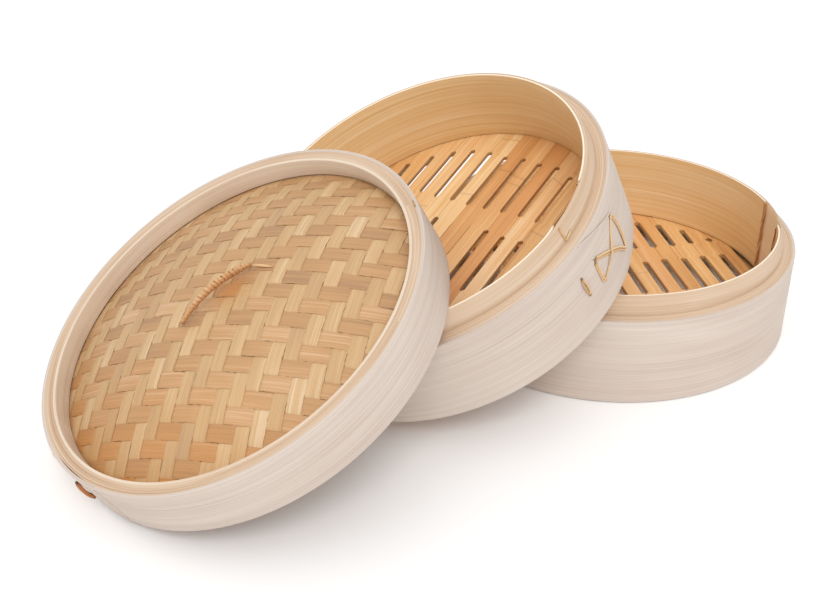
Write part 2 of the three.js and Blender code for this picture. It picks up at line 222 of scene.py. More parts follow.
def wood(name, colours, dark, warm, line, band, weights, rough, bump, coat=0.0, gloss=0.5):
    """Bamboo seen along its fibres, its colours listed from dark to pale.

    line and band are the (along, across) frequencies per metre of fine and of wide streaks. weights says how
    much the fine streaks, the wide ones, the blotches and the tone of the piece count. The mesh attributes
    tone, dark and warm shift the colour: tone per piece; dark at cut ends, knots and slat edges, and as
    painted shade on slot walls, in holes and splits, where woven strips dive under and on the left of the
    weave; warm where it is aged and on pale ply tops, and as painted shade on the handle's wrap, on the lid's
    stitch, on the near joint lacing and beside the handle.
    """
    material = bpy.data.materials.new(name)
    material.use_nodes = True
    tree = material.node_tree
    tree.nodes.clear()

    def node(kind, **inputs):
        made = tree.nodes.new(kind)
        for key, value in inputs.items():
            made.inputs[key.replace("_", " ")].default_value = value
        return made

    def join(source, target):
        tree.links.new(source, target)

    def attribute(key):
        made = tree.nodes.new("ShaderNodeAttribute")
        made.attribute_name = key
        return made.outputs["Fac"]

    def math_node(operation, first, second, third=None, clamp=False):
        made = tree.nodes.new("ShaderNodeMath")
        made.operation = operation
        made.use_clamp = clamp
        for socket, value in zip(made.inputs, (first, second, third)):
            if value is None:
                continue
            if isinstance(value, (int, float)):
                socket.default_value = value
            else:
                join(value, socket)
        return made.outputs[0]

    uv = tree.nodes.new("ShaderNodeUVMap")
    uv.uv_map = "UVMap"
    split = node("ShaderNodeSeparateXYZ")
    join(uv.outputs[0], split.inputs[0])
    tone = attribute("tone")
    place = node("ShaderNodeCombineXYZ")
    join(split.outputs[0], place.inputs[0])
    join(split.outputs[1], place.inputs[1])
    join(math_node("MULTIPLY", tone, NOISE_APART), place.inputs[2])

    def field(scale, detail, contrast):
        stretch = tree.nodes.new("ShaderNodeVectorMath")
        stretch.operation = "MULTIPLY"
        join(place.outputs[0], stretch.inputs[0])
        stretch.inputs[1].default_value = (scale[0], scale[1], 1.0)
        noise = node("ShaderNodeTexNoise", Scale=1.0, Detail=detail, Roughness=0.6)
        join(stretch.outputs[0], noise.inputs["Vector"])
        return math_node("MULTIPLY_ADD", noise.outputs["Fac"], contrast, 0.5 - contrast / 2)

    fine = field(line, detail=3.0, contrast=2.2)
    wide = field(band, detail=2.0, contrast=2.4)
    patch = field(PATCH_SCALE, detail=2.0, contrast=2.6)
    mix = math_node("MULTIPLY", fine, weights[0])
    mix = math_node("MULTIPLY_ADD", wide, weights[1], mix)
    mix = math_node("MULTIPLY_ADD", patch, weights[2], mix)
    mix = math_node("MULTIPLY_ADD", tone, weights[3], mix)
    mix = math_node("ADD", mix, 0.5 - sum(weights) / 2, clamp=True)

    ramp = tree.nodes.new("ShaderNodeValToRGB")
    ramp.color_ramp.elements[0].color = linear(colours[0])
    ramp.color_ramp.elements[0].position = RAMP_FROM
    ramp.color_ramp.elements[1].color = linear(colours[-1])
    ramp.color_ramp.elements[1].position = RAMP_TO
    for index, code in enumerate(colours[1:-1]):
        share = (index + 1) / (len(colours) - 1)
        stop = ramp.color_ramp.elements.new(RAMP_FROM + (RAMP_TO - RAMP_FROM) * share)
        stop.color = linear(code)
    join(mix, ramp.inputs[0])

    def tint(colour, amount, code):
        made = tree.nodes.new("ShaderNodeMix")
        made.data_type = "RGBA"
        join(amount, made.inputs[0])
        join(colour, made.inputs[6])
        made.inputs[7].default_value = linear(code)
        return made.outputs[2]

    colour = tint(ramp.outputs[0], attribute("warm"), warm)
    colour = tint(colour, attribute("dark"), dark)

    shader = node("ShaderNodeBsdfPrincipled")
    join(colour, shader.inputs["Base Color"])
    join(math_node("MULTIPLY_ADD", fine, rough[1] - rough[0], rough[0]), shader.inputs["Roughness"])
    shader.inputs["Specular IOR Level"].default_value = gloss
    shader.inputs["Coat Weight"].default_value = coat
    shader.inputs["Coat Roughness"].default_value = 0.3
    height = math_node("MULTIPLY_ADD", wide, 0.7, fine)
    relief = node("ShaderNodeBump", Strength=bump, Distance=BUMP_DEPTH)
    join(height, relief.inputs["Height"])
    join(relief.outputs[0], shader.inputs["Normal"])
    out = tree.nodes.new("ShaderNodeOutputMaterial")
    join(shader.outputs[0], out.inputs[0])
    return material


FINISH = {
    "veneer": wood(
        "pale_veneer", ("b8a697", "c7b7ab", "cfc2b6", "dacec3"), dark="8a6a4a", warm="dcc4a8",
        line=(8, 1500), band=(3, 360), weights=(0.5, 0.14, 0.22, 0.2),
        rough=(0.6, 0.8), bump=0.3, gloss=0.2,
    ),
    "core": wood(
        "cream_veneer", ("b89779", "cbb095", "d6c1aa", "e0d0bd"), dark="84603c", warm="cfa674",
        line=(9, 1900), band=(4, 420), weights=(0.36, 0.26, 0.2, 0.5),
        rough=(0.56, 0.76), bump=0.25, gloss=0.3,
    ),
    "lining": wood(
        "satin_bamboo", ("cda069", "e4bd82", "edcd9d", "f6e2bb"), dark="7a4416", warm="f4e6d2",
        line=(7, 1700), band=(3, 380), weights=(0.46, 0.28, 0.16, 0.2),
        rough=(0.34, 0.5), bump=0.25, coat=0.1,
    ),
    "slat": wood(
        "golden_slat", ("c28a52", "dfab6d", "ecc38c", "f8e3bc"), dark="5a3010", warm="d07c38",
        line=(12, 1500), band=(5, 330), weights=(0.34, 0.26, 0.26, 0.6),
        rough=(0.34, 0.54), bump=0.3, coat=0.1,
    ),
    "bearer": wood(
        "split_bamboo", ("8a5a2a", "b07c44", "c5965c", "d8b482"), dark="452409", warm="9a5a20",
        line=(20, 900), band=(6, 260), weights=(0.4, 0.3, 0.25, 0.4),
        rough=(0.5, 0.7), bump=0.4,
    ),
    "straw": wood(
        "straw_strip", ("b18d6c", "bf9a6c", "caa77a", "dabf9c"), dark="6f431c", warm="c48a46",
        line=(18, 1250), band=(9, 480), weights=(0.38, 0.26, 0.36, 0.32),
        rough=(0.4, 0.62), bump=0.4, coat=0.04,
    ),
    "tan": wood(
        "tan_strip", ("a17b5b", "b48a5d", "c09466", "d2ae88"), dark="653816", warm="c47f34",
        line=(18, 1250), band=(9, 460), weights=(0.38, 0.28, 0.36, 0.36),
        rough=(0.4, 0.62), bump=0.4, coat=0.04,
    ),
    "rattan": wood(
        "rattan_strip", ("ac7d4a", "cb9d69", "dab485", "ead0a8"), dark="5f3816", warm="a25a24",
        line=(60, 2600), band=(20, 700), weights=(0.4, 0.3, 0.2, 0.4),
        rough=(0.42, 0.62), bump=0.35,
    ),
}


# ---- mesh helpers ----


def finish_piece(name, verts, faces, uvs, body, finish, nodes, tone=0.5, dark=None, warm=None, sharp=38):
    """Makes a piece from local millimetres, places it with its body and hides the CAD nodes it stands for."""
    mesh = bpy.data.meshes.new(name)
    place = np.array(FRAMES[body])
    verts = np.asarray(verts) * MM @ place[:3, :3].T + place[:3, 3]
    mesh.from_pydata(verts.tolist(), [], faces)
    layer = mesh.uv_layers.new(name="UVMap")
    layer.data.foreach_set("uv", np.asarray(uvs, np.float32).ravel())
    count = len(verts)
    for key, value in (("tone", tone), ("dark", dark), ("warm", warm)):
        values = np.zeros(count, np.float32) if value is None else np.broadcast_to(value, count)
        mesh.attributes.new(key, "FLOAT", "POINT").data.foreach_set("value", values.astype(np.float32))
    mesh.shade_smooth()
    mesh.set_sharp_from_angle(angle=math.radians(sharp))
    mesh.materials.append(FINISH[finish])
    piece = bpy.data.objects.new(name, mesh)
    bpy.context.scene.collection.objects.link(piece)
    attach(piece, body)
    if nodes:
        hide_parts(*nodes)


def loft(points, u, v, wrap):
    """Verts, faces and face-corner UVs of a row of closed loops, the stations, joined one to the next.

    points is (stations, loop, 3). u and v are metres: one u per station, and one more if the row is wrapped
    round, and one v per point of a loop plus one.
    """
    stations, loop = points.shape[:2]
    i, j = np.meshgrid(np.arange(stations if wrap else stations - 1), np.arange(loop), indexing="ij")
    i, j = i.ravel(), j.ravel()
    following = (i + 1) % stations
    corner = np.stack(
        [i * loop + j, following * loop + j, following * loop + (j + 1) % loop, i * loop + (j + 1) % loop], 1
    )
    faces = corner.tolist()
    uv = np.stack(
        [np.stack([u[a], v[b]], -1) for a, b in ((i, j), (i + 1, j), (i + 1, j + 1), (i, j + 1))], 1
    ).reshape(-1, 2)
    if not wrap:
        faces.append(list(range(loop))[::-1])
        faces.append([(stations - 1) * loop + k for k in range(loop)])
        for station, order in ((0, range(loop)[::-1]), (stations - 1, range(loop))):
            local = points[station] - points[station].mean(0)
            across = np.linalg.svd(local)[2][:2]
            ordered = local[list(order)]
            cap = np.stack([ordered @ across[1] * MM, ordered @ across[0] * MM], -1)
            uv = np.concatenate([uv, cap])
    return points.reshape(-1, 3), faces, uv


def rounded(outline, radius=0.35, spacing=5.0):
    """Closed (r, z) outline with its corners eased and its long sides divided."""
    points = [np.array(p, float) for p in outline]
    count = len(points)
    made = []
    for index in range(count):
        before, here, after = points[index - 1], points[index], points[(index + 1) % count]
        back, ahead = before - here, after - here
        reach = min(radius, np.linalg.norm(back) * 0.4, np.linalg.norm(ahead) * 0.4)
        first = here + back / np.linalg.norm(back) * reach
        last = here + ahead / np.linalg.norm(ahead) * reach
        for share in (0, 0.33, 0.67, 1):
            made.append((1 - share) ** 2 * first + 2 * share * (1 - share) * here + share**2 * last)
    divided = []
    for index, here in enumerate(made):
        after = made[(index + 1) % len(made)]
        parts = max(1, int(np.linalg.norm(after - here) / spacing))
        divided.extend(here + (after - here) * k / parts for k in range(parts))
    return np.array(divided)


def grooved(outer, inner, z, grooves, depth=0.3, half=0.26):
    """Top face of a coiled rim, from outside in, with a fine groove between neighbouring plies."""
    points = [(outer, z)]
    for radius in sorted(grooves, reverse=True):
        points += [(radius + half, z), (radius, z - depth), (radius - half, z)]
    return points + [(inner, z)]


def wave(angle, seed, amplitude):
    """Smooth closed unevenness round a hoop."""
    draw = random.Random(seed)
    total = np.zeros_like(angle)
    for order in (2, 3, 5, 9, 17, 31):
        total += np.sin(order * angle + draw.uniform(*ANY_PHASE)) * draw.uniform(0.4, 1) / order**0.6
    return total * amplitude / 2


def unit(vectors):
    """The vectors at length one."""
    return vectors / np.linalg.norm(vectors, axis=-1, keepdims=True)


def turned(points, degrees):
    """Points turned about Z."""
    cos, sin = math.cos(math.radians(degrees)), math.sin(math.radians(degrees))
    return points @ np.array([[cos, sin, 0], [-sin, cos, 0], [0, 0, 1]])


def hoop(name, body, node, outline, finish, start=0.0, span=360.0, step=0.0, edge=None, segments=300,
         uneven=0.1, tone=0.5, end_dark=0.0, shape=None, ease=0.3, warm=0.0, pale_top=0.0):
    """Bent hoop from a closed (r, z) outline. The outside of a full coil drops by step where its end laps.

    edge gives the azimuth of a slanted end at a height, and shape bends the finished (azimuth, radius, z).
    """
    profile = rounded(outline, ease)
    loop = len(profile)
    length = np.linalg.norm(np.roll(profile, -1, 0) - profile, axis=1)
    v = np.concatenate([[0], np.cumsum(length)]) * MM
    share = np.arange(segments + 1) / segments
    lead = np.array([edge(z) if edge else start for _, z in profile])
    azimuth = np.radians(lead[None, :] + span * share[:, None])
    middle = (profile[:, 0].max() + profile[:, 0].min()) / 2
    outside = (profile[:, 0] > middle)[None, :]
    radius = profile[None, :, 0] - np.where(outside, step * (1 - share[:, None]), 0)
    radius = radius + wave(azimuth, name + "r", uneven * 0.6)
    high = (profile[:, 1] - profile[:, 1].min()) / np.ptp(profile[:, 1])
    at_top = high[None, :] > 0.9
    z = profile[None, :, 1] + wave(azimuth, name + "z", uneven) * at_top - uneven * at_top
    if shape:
        radius, z = shape(np.degrees(azimuth), radius, z)
    points = np.stack([radius * np.cos(azimuth), radius * np.sin(azimuth), z], -1)
    u = np.radians(span) * share * middle * MM
    full = abs(span - 360) < 1e-6
    u = np.concatenate([u, u[-1:]]) if full else u
    verts, faces, uv = loft(points, u, v, full)
    from_end = np.minimum(share, 1 - share) * np.radians(span) * middle
    dark = np.repeat(np.clip(1 - from_end / HOOP_FADE, 0, 1) * end_dark, loop)
    rim = pale_top * (profile[:, 1] > profile[:, 1].max() - 0.3)
    warmth = np.maximum(warm, np.tile(rim, len(points)))
    finish_piece(name, verts, faces, uv, body, finish, [node] if node else [], tone, dark, warmth)


def smooth_path(points, per):
    """Catmull-Rom line through the points, with per points to each stretch."""
    p = np.array([list(q) for q in points], float)
    p = np.concatenate([[2 * p[0] - p[1]], p, [2 * p[-1] - p[-2]]])
    made = []
    for k in range(1, len(p) - 2):
        a, b, c, d = p[k - 1 : k + 3]
        for t in np.arange(per) / per:
            square = (2 * a - 5 * b + 4 * c - d) * t**2
            cube = (3 * b - a - 3 * c + d) * t**3
            made.append(0.5 * (2 * b + (c - a) * t + square + cube))
    made.append(p[-2])
    return np.array(made)


def oval(width, thick, sides, power=0.6):
    """Cross-section of a flat strip, as offsets (across, out)."""
    angle = np.arange(sides) * 2 * np.pi / sides
    c, s = np.cos(angle), np.sin(angle)
    return np.stack([np.sign(c) * abs(c) ** power * width / 2, np.sign(s) * abs(s) ** power * thick / 2], 1)


def strip(name, body, nodes, path, outward, width, thick, finish, tone=0.5, end_dark=0.6, sides=8,
          taper=0.0, warm=0.0):
    """Flat strip swept along a path; outward holds the direction its face looks at each point."""
    path = np.asarray(path, float)
    tangent = unit(np.gradient(path, axis=0))
    across = unit(np.cross(tangent, outward))
    out = np.cross(across, tangent)
    section = oval(width, thick, sides)
    along = np.concatenate([[0], np.cumsum(np.linalg.norm(np.diff(path, axis=0), axis=1))])
    near_end = np.minimum(along, along[-1] - along)
    scale = 1 - taper * np.clip(1 - near_end / (3 * width), 0, 1)
    points = (
        path[:, None, :]
        + across[:, None, :] * (section[None, :, :1] * scale[:, None, None])
        + out[:, None, :] * (section[None, :, 1:] * scale[:, None, None])
    )
    v = np.concatenate([[0], np.cumsum(np.linalg.norm(np.roll(section, -1, 0) - section, axis=1))]) * MM
    verts, faces, uv = loft(points, along * MM, v, False)
    dark = np.repeat(np.clip(1 - near_end / STRIP_FADE, 0, 1) * end_dark, sides)
    finish_piece(name, verts, faces, uv, body, finish, nodes, tone, dark, warm, sharp=60)


def on_wall(radius, azimuth, z):
    """Point at this radius, azimuth in degrees and height."""
    a = math.radians(azimuth)
    return (radius * math.cos(a), radius * math.sin(a), z)


def radial(path):
    """Direction away from the axis at each point of a path."""
    return unit(path * np.array([1, 1, 0]))


def upward(path):
    """Straight up at each point of a path."""
    return np.tile([0, 0, 1], (len(path), 1))


# ---- slatted floor ----


def slots_on_seam(across):
    """(row, from, to) of the slots opened on the seam at this distance from the middle."""
    reach = SLOT_REACH * math.sqrt(LIP_IN_R**2 - across**2)
    slots = [("middle", -min(MID_SLOT, reach), min(MID_SLOT, reach))]
    side_end = min(SIDE_SLOT_TO, reach)
    if side_end - SIDE_SLOT_FROM > 3 * SLOT_END:
        slots += [("low", -side_end, -SIDE_SLOT_FROM), ("high", SIDE_SLOT_FROM, side_end)]
    return slots


def slot_depth(tier, seam, x):
    """How far the slots of a seam cut into each of its two slats, at the stations x."""
    across = (seam - SLAT_COUNT / 2) * SLAT_PITCH
    depth = np.zeros_like(x)
    for row, start, end in slots_on_seam(across):
        draw = random.Random(f"{tier}{seam}{row}")
        wide = (SLOT_W[tier] - SLAT_SEAM) / 2 * draw.uniform(0.82, 1.0)
        start += draw.uniform(-1.0, 1.0)
        end += draw.uniform(-1.0, 1.0)
        if tier == "upper" and seam in CLOSED_SEAMS and row == "middle":
            wide *= CLOSED_SHARE
        if tier == "lower" and row == "middle":
            end -= LOWER_MID_SHORT
        rise = np.clip((x - start) / SLOT_END, 0, 1)
        fall = np.clip((end - x) / (SLOT_END * 0.6), 0, 1)
        depth = np.maximum(depth, wide * np.sin(rise * np.pi / 2) ** 0.8 * np.sin(fall * np.pi / 2) ** 0.8)
    return depth


def slat_knots(draw, x, reach):
    """Height and darkness, at the stations x, of the few knots of a slat."""
    knots = [draw.uniform(-0.9, 0.9) * reach for _ in range(draw.choice((0, 1, 1, 2)))]
    ridge = np.zeros_like(x)
    mark = np.zeros_like(x)
    for knot in knots:
        ridge += KNOT_RISE * np.exp(-(((x - knot) / KNOT_W) ** 2))
        mark += KNOT_DARK * np.exp(-(((x - knot - KNOT_MARK_AT) / KNOT_MARK_W) ** 2))
    return np.minimum(ridge, KNOT_RISE), mark


def slat(tier, index):
    """One slat, notched along both edges by the slots of its seams."""
    draw = random.Random(f"{tier}slat{index}")
    low = max((index - SLAT_COUNT / 2) * SLAT_PITCH, -EDGE_STRIP_TO) + SLAT_SEAM / 2
    high = min((index + 1 - SLAT_COUNT / 2) * SLAT_PITCH, EDGE_STRIP_TO) - SLAT_SEAM / 2
    wide = high - low
    nearest = min(abs(low), abs(high)) if low * high > 0 else 0.0
    reach = math.sqrt(SLAT_END_R**2 - nearest**2)
    share = np.linspace(-1, 1, max(12, int(2 * reach / SLAT_STEP)))
    x_low = share * math.sqrt(SLAT_END_R**2 - low**2)
    x_high = share * math.sqrt(SLAT_END_R**2 - high**2)
    x = (x_low + x_high) / 2
    cut_low = slot_depth(tier, index, x_low) if index > 0 else 0 * x
    cut_high = slot_depth(tier, index + 1, x_high) if index < SLAT_COUNT - 1 else 0 * x

    across = np.array(SLAT_PROFILE)
    crown = np.minimum(1, np.minimum(across, 1 - across) / SLAT_CROWN) ** 0.5
    top = FLOOR_Z - SLAT_ROUND * (1 - crown) - 0.1
    ridge, mark = slat_knots(draw, x, reach)
    sag = 0.12 * np.sin(x / 40 + draw.uniform(0, 6)) * draw.uniform(0.3, 1)
    under = SLOT_UNDER[tier]
    y = (low + cut_low)[:, None] + (wide - cut_low - cut_high)[:, None] * across[None, :]
    y_under = (low + under * cut_low)[:, None]
    y_under = y_under + (wide - under * (cut_low + cut_high))[:, None] * across[None, :]
    z_top = np.minimum(top[None, :] + ridge[:, None] + sag[:, None] - 0.06, FLOOR_Z)
    z_low = np.full_like(y, FLOOR_Z - SLAT_T + 0.1) + (0.25 * (1 - crown))[None, :]
    xs = x_low[:, None] + (x_high - x_low)[:, None] * across[None, :]
    upper = np.stack([xs, y, z_top], -1)
    lower = np.stack([xs, y_under, z_low], -1)[:, ::-1]
    points = np.concatenate([upper, lower], 1)
    v = np.concatenate([across * wide, across * wide + SLAT_T + wide, [3 * wide]]) * MM
    verts, faces, uv = loft(points, x * MM, v, False)

    tone = draw.uniform(*SLAT_TONES)
    top_dark = mark[:, None] + 0.15 * (1 - crown)[None, :]
    # a touch darker underneath and much darker on the slot walls as painted shade; the knot marks are the
    # wood's own
    under_shade_and_marks = np.repeat(0.04 + mark[:, None], len(across), 1)
    under_shade_and_marks[:, -1] += SLOT_WALL_SHADE * (cut_low > 0.5)
    under_shade_and_marks[:, 0] += SLOT_WALL_SHADE * (cut_high > 0.5)
    dark = np.clip(np.concatenate([top_dark, under_shade_and_marks], 1), 0, 0.8).ravel()
    warm = draw.choice(SLAT_WARMTHS)
    number = f"{index + 1:02d}"
    finish_piece(
        f"{tier}_slat_{number}_split", turned(verts, TURNS[tier]), faces, uv, f"{tier}_tier", "slat",
        [f"{tier}_slat_{number}"], tone, dark, warm,
    )


def crossbar(tier, letter, along):
    """Split-bamboo bar under the slats."""
    draw = random.Random(f"{tier}bar{letter}")
    reach = math.sqrt(CROSSBAR_END_R**2 - (abs(along) + CROSSBAR_W / 2) ** 2)
    s = np.linspace(-reach, reach, 60)
    path = np.stack([along + 0.25 * np.sin(s / 30), s, np.full_like(s, BEARER_Z + BEARER_T / 2)], 1)
    strip(
        f"{tier}_crossbar_{letter}_split", f"{tier}_tier", [f"{tier}_crossbar_{letter}"],
        turned(path, TURNS[tier]), upward(path), CROSSBAR_W - 0.3, BEARER_T - 0.1, "bearer",
        draw.uniform(0.3, 0.7), sides=14,
    )


# ---- lacing ----


def bow_tie(prefix, body, mid_z):
    """Bow-tie of two thin rattan strips side by side, laid on the outer wall."""
    azimuth = LACINGS[prefix]
    short, long = azimuth - BOW_SHORT, azimuth + BOW_LONG
    base = RIM_R + LACING_LIFT
    # (distance off the wall, azimuth, height from the middle) along the strips
    spots = [
        (0, short - 0.7, 10.0), (0, azimuth - 4.4, 5.0), (0, azimuth - 1.2, 0), (0, azimuth + 3.4, -8),
        (0, long - 0.9, -15.6), (0, long + 0.3, -14), (0.1, long + 0.1, 0), (0, long - 1.2, 12.8),
        (0, long - 2.6, 14.6), (0, azimuth + 2, 7.6), (1.1, azimuth - 1.2, 0), (0, azimuth - 4, -5.6),
        (0, short + 0.8, -9.2), (0, short - 0.4, -7.6), (-0.1, short - 0.9, 8.4),
    ]
    for number, shift in enumerate((-1, 1)):
        path = smooth_path(
            [
                on_wall(base + 0.12 * number + extra, a + shift * 0.3, mid_z + z + shift * 0.5)
                for extra, a, z in spots
            ],
            9,
        )
        strip(
            f"{prefix}_bow_strip_{'ab'[number]}", body, [f"{prefix}_bow_lacing"] if number == 0 else [],
            path, radial(path), 1.35, 0.6, "rattan", 0.65 + 0.3 * number, end_dark=0.7,
        )


def end_stitch(prefix, body, azimuth, low, high, slant, bulge_out=0.45, width=1.3, thick=0.65, warm=0.0):
    """Short stitch whose two strips bow apart in the middle."""
    base = RIM_R + 0.45
    for number, side in enumerate((-1, 1)):
        bulge = side * 0.4
        path = smooth_path(
            [
                on_wall(base, azimuth + slant, low),
                on_wall(base + bulge_out * 0.8, azimuth + slant * 0.8 + bulge, low + (high - low) * 0.25),
                on_wall(base + bulge_out, azimuth + slant * 0.5 + bulge * 1.3, (low + high) / 2),
                on_wall(base + bulge_out * 0.8, azimuth + slant * 0.2 + bulge, low + (high - low) * 0.75),
                on_wall(base, azimuth, high),
            ],
            8,
        )
        strip(
            f"{prefix}_stitch_strip_{'ab'[number]}", body, [f"{prefix}_end_stitch"] if number == 0 else [],
            path, radial(path), width, thick, "rattan", 0.3 + 0.45 * number, end_dark=0.95, warm=warm,
        )


def awl_hole_shade(name, body, azimuth, z, lean, length=3.4, width=0.9, thick=0.12):
    """Dark strip laid on the wall where a strip passes through the veneer, painted shade for the shadowed
    hole.
    """
    centre = np.array(on_wall(RIM_R + 0.02, azimuth, z))
    out = np.array(on_wall(1, azimuth, 0))
    around = np.cross([0, 0, 1], out)
    ahead = around * math.sin(math.radians(lean)) + np.array([0, 0, 1]) * math.cos(math.radians(lean))
    path = centre + ahead * np.linspace(-length / 2, length / 2, 9)[:, None]
    outward = np.tile(out, (len(path), 1))
    strip(name, body, [], path, outward, width, thick, "rattan", 0.1, end_dark=1.0, taper=0.8)


def joint_lacing(prefix, body, side, centre, middle, top, swings, depths, warms):
    """Three strips twisted up one side of the joint of the inner ply, about the radius middle."""
    z = np.linspace(FLOOR_Z + 1.2, top, 110)
    for number, (phase, width, tone) in enumerate(JOINT_STRIPS):
        turn = (z - z[0]) / (17.0 + 3 * number) * 2 * np.pi + phase
        azimuth = np.radians(centre) + 0.5 * np.cos(turn) / LIP_IN_R
        radius = middle - swings[number] * np.sin(turn)
        path = np.stack([radius * np.cos(azimuth), radius * np.sin(azimuth), z], 1)
        strip(
            f"{prefix}_joint_lacing_{side}_{number + 1}", body, [], path, -radial(path), width,
            depths[number], "rattan", tone, warm=warms[number], end_dark=0.0,
        )


def lip_tie(prefix, body):
    """V of two short strips that ties the lip to the step."""
    azimuth = LACINGS[prefix] + TIE_FROM_LACING
    foot_r, foot_z = 119.05, STEP_H + 1.3
    ends = ((0.1, LIP_H - 1.9, 116.75), (3.3, STEP_H + 3.0, 118.95))  # (degrees aside, height, radius)
    for number, (lean, top_z, top_r) in enumerate(ends):
        path = smooth_path(
            [
                on_wall(top_r, azimuth + lean, top_z),
                on_wall((top_r + foot_r) / 2 + 0.1, azimuth + lean * 0.55, (top_z + STEP_H + 2.2) / 2),
                on_wall(foot_r, azimuth, foot_z),
            ],
            8,
        )
        strip(
            f"{prefix}_lip_tie_{'ab'[number]}", body, [], path, radial(path), 1.5, 0.5, "rattan",
            0.55 + 0.35 * number, end_dark=0.3,
        )


# ---- tiers ----


def veneer_edge(prefix):
    """Azimuth of the end of the outer veneer at height z: upright, with its upper corner cut away."""
    base = LACINGS[prefix] + VENEER_END_FROM_LACING

    def edge(z):
        return base - VENEER_CUT_ARC * min(max((z - VENEER_CUT_Z) / (STEP_H - VENEER_CUT_Z), 0.0), 1.0)

    return edge


def outer_veneer(prefix, body, draw):
    """Thin outer wall, and a pale strip along the edge of its free end, a painted highlight where that edge
    catches the light.
    """
    edge = veneer_edge(prefix)
    hoop(
        f"{prefix}_outer_veneer", body, f"{prefix}_outer_band",
        [(RIM_R, 0.1), (RIM_R, STEP_H), (OUTER_IN_R, STEP_H), (OUTER_IN_R, 0.1)],
        "veneer", edge=edge, step=0.45, tone=draw.uniform(0.45, 0.6),
    )
    heights = np.linspace(VENEER_CUT_Z + 1.0, STEP_H - 0.6, 30)
    path = np.array([on_wall(RIM_R - 0.12, edge(z) + 0.25, z) for z in heights])
    # painted highlight: the palest veneer laid along the edge of the free end
    strip(f"{prefix}_veneer_end_highlight", body, [], path, radial(path), 1.3, 0.5, "veneer", 1.0, end_dark=0.0)


def core_plies(prefix, body, draw):
    """Coiled band inside the veneer, with the step on top and the nesting bore below."""
    inner = LIP_FOOT_R - 0.4
    hoop(
        f"{prefix}_core_plies", body, f"{prefix}_core_band",
        [
            (CORE_OUT_R, 0.15), *grooved(CORE_OUT_R, inner, STEP_H - 0.3, GROOVES),
            (inner, NEST_H + 1), (NEST_R, NEST_H), (NEST_R, 0.15),
        ],
        "core", start=draw.uniform(0, 360), tone=draw.uniform(0.45, 0.55), ease=0.25,
    )


def lip_plies(prefix, body, draw):
    """The two plies of the inner band, and the panel seen between the ends of the inner one."""
    joint = JOINTS[prefix]
    outer = LIP_FOOT_R - 0.05
    foot = FLOOR_Z + 0.35
    hoop(
        f"{prefix}_lip_outer_ply", body, f"{prefix}_inner_band",
        [
            (outer, foot), (outer, STEP_H + 1.5), (LIP_TOP_R - 0.05, LIP_H),
            (LIP_MID_R, LIP_H), (LIP_MID_R, foot),
        ],
        "core", start=joint + 160, tone=draw.uniform(0.25, 0.35), ease=0.22,
    )

    def curl(azimuth, radius, z):
        """The free end of the inner ply springs a little off the wall."""
        away = (azimuth - (joint + JOINT_HALF)) % 360
        from_end = 360 - 2 * JOINT_HALF - away
        return radius - 0.8 * np.clip(1 - from_end / 5.0, 0, 1) ** 2, z

    hoop(
        f"{prefix}_lip_inner_ply", body, None,
        [
            (LIP_MID_R - PLY_GAP, FLOOR_Z + 0.4), (LIP_MID_R - PLY_GAP, LIP_H - 0.1),
            (LIP_IN_R, LIP_H - 0.1), (LIP_IN_R, LIP_H - 0.7), (LIP_IN_R, FLOOR_Z + 0.4),
        ],
        "lining", start=joint + JOINT_HALF, span=360 - 2 * JOINT_HALF, tone=draw.uniform(0.45, 0.6),
        end_dark=0.55, shape=curl, ease=0.2, uneven=0.06, pale_top=0.85,
    )
    hoop(
        f"{prefix}_joint_liner", body, None,
        [
            (LIP_MID_R - 0.1, FLOOR_Z + 0.5), (LIP_MID_R - 0.1, LIP_H - 0.3),
            (LIP_MID_R - 0.35, LIP_H - 0.3), (LIP_MID_R - 0.35, FLOOR_Z + 0.5),
        ],
        "lining", start=joint - JOINT_HALF + 0.2, span=2 * JOINT_HALF - 0.4, tone=1.0, ease=0.05, uneven=0.02,
        segments=30, warm=0.4,
    )


def base_hoop(prefix, body, draw):
    """Hidden hoop that carries the slats."""
    low, high = BEARER_Z + 0.05, BEARER_Z + BEARER_T - 0.05
    hoop(
        f"{prefix}_base_hoop_split", body, f"{prefix}_base_hoop",
        [(BEARER_OUT_R, low), (BEARER_OUT_R, high), (BEARER_IN_R, high), (BEARER_IN_R, low)],
        "bearer", start=draw.uniform(0, 360), uneven=0.02,
    )


def tier(prefix):
    """One tier with its floor and its lacing."""
    body = f"{prefix}_tier"
    draw = random.Random(prefix)
    outer_veneer(prefix, body, draw)
    core_plies(prefix, body, draw)
    lip_plies(prefix, body, draw)
    base_hoop(prefix, body, draw)
    for index in range(SLAT_COUNT):
        slat(prefix, index)
    crossbar(prefix, "a", CROSSBAR_AT)
    crossbar(prefix, "b", -CROSSBAR_AT)
    bow_tie(prefix, body, STEP_H / 2)
    end_stitch(prefix, body, LACINGS[prefix] + STITCH_FROM_LACING, low=23.5, high=40, slant=0.7)
    for number, (away, z, lean) in enumerate(AWL_HOLES):
        awl_hole_shade(f"{prefix}_awl_hole_shade_{number + 1}", body, LACINGS[prefix] + away, z, lean)
    joint = JOINTS[prefix] - 0.45
    joint_lacing(
        prefix, body, "far", joint + JOINT_HALF, middle=LIP_MID_R - 1.3, top=LIP_H - 0.9,
        swings=(0.2, 0.75, 0.75), depths=(2.0, 1.1, 1.0), warms=(0.55, 0.3, 0.1),
    )
    # the near strips are browned as painted shadow: they stand partly for lacing and partly for the shadow
    # the end of the inner ply casts
    joint_lacing(
        prefix, body, "near", joint - JOINT_HALF, middle=LIP_IN_R - 1.25, top=LIP_H - 3.2,
        swings=(0.3, 0.3, 0.3), depths=(0.6, 0.6, 0.6), warms=(0.9, 0.9, 0.9),
    )
    lip_tie(prefix, body)


# ---- weave of the lid ----


